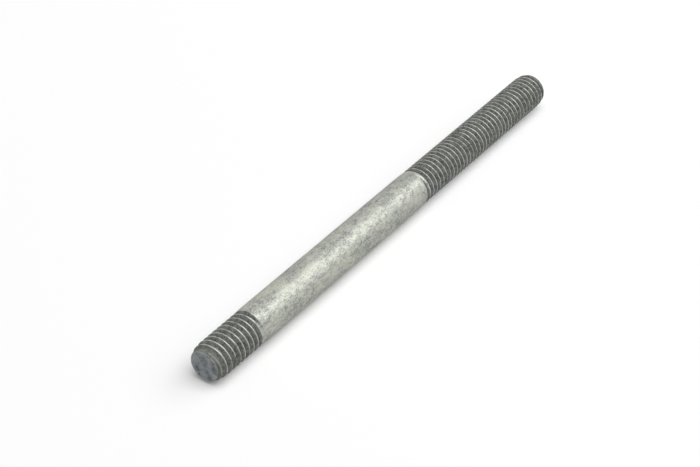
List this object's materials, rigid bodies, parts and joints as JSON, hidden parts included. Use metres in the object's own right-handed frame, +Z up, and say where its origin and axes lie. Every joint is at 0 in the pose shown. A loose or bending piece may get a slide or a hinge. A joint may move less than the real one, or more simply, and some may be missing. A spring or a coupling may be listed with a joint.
{
  "type": "stud bolt",
  "caption": "Double-ended stud bolt: one galvanised steel bar with a short threaded tap end, a plain full-bodied shank and a long threaded nut end.",
  "frame": {"origin": "on the stud's axis at mid-length, the centre of its bounding box", "axes": "+X along the axis from the short tap end to the long nut end; Z is up when the stud lies on its side"},
  "size_m": [0.1428, 0.0096, 0.0096],
  "materials": {
    "zinc_coat": "dull galvanised zinc on steel"
  },
  "bodies": {
    "root": {"stud": "zinc_coat"}
  },
  "joints": []
}
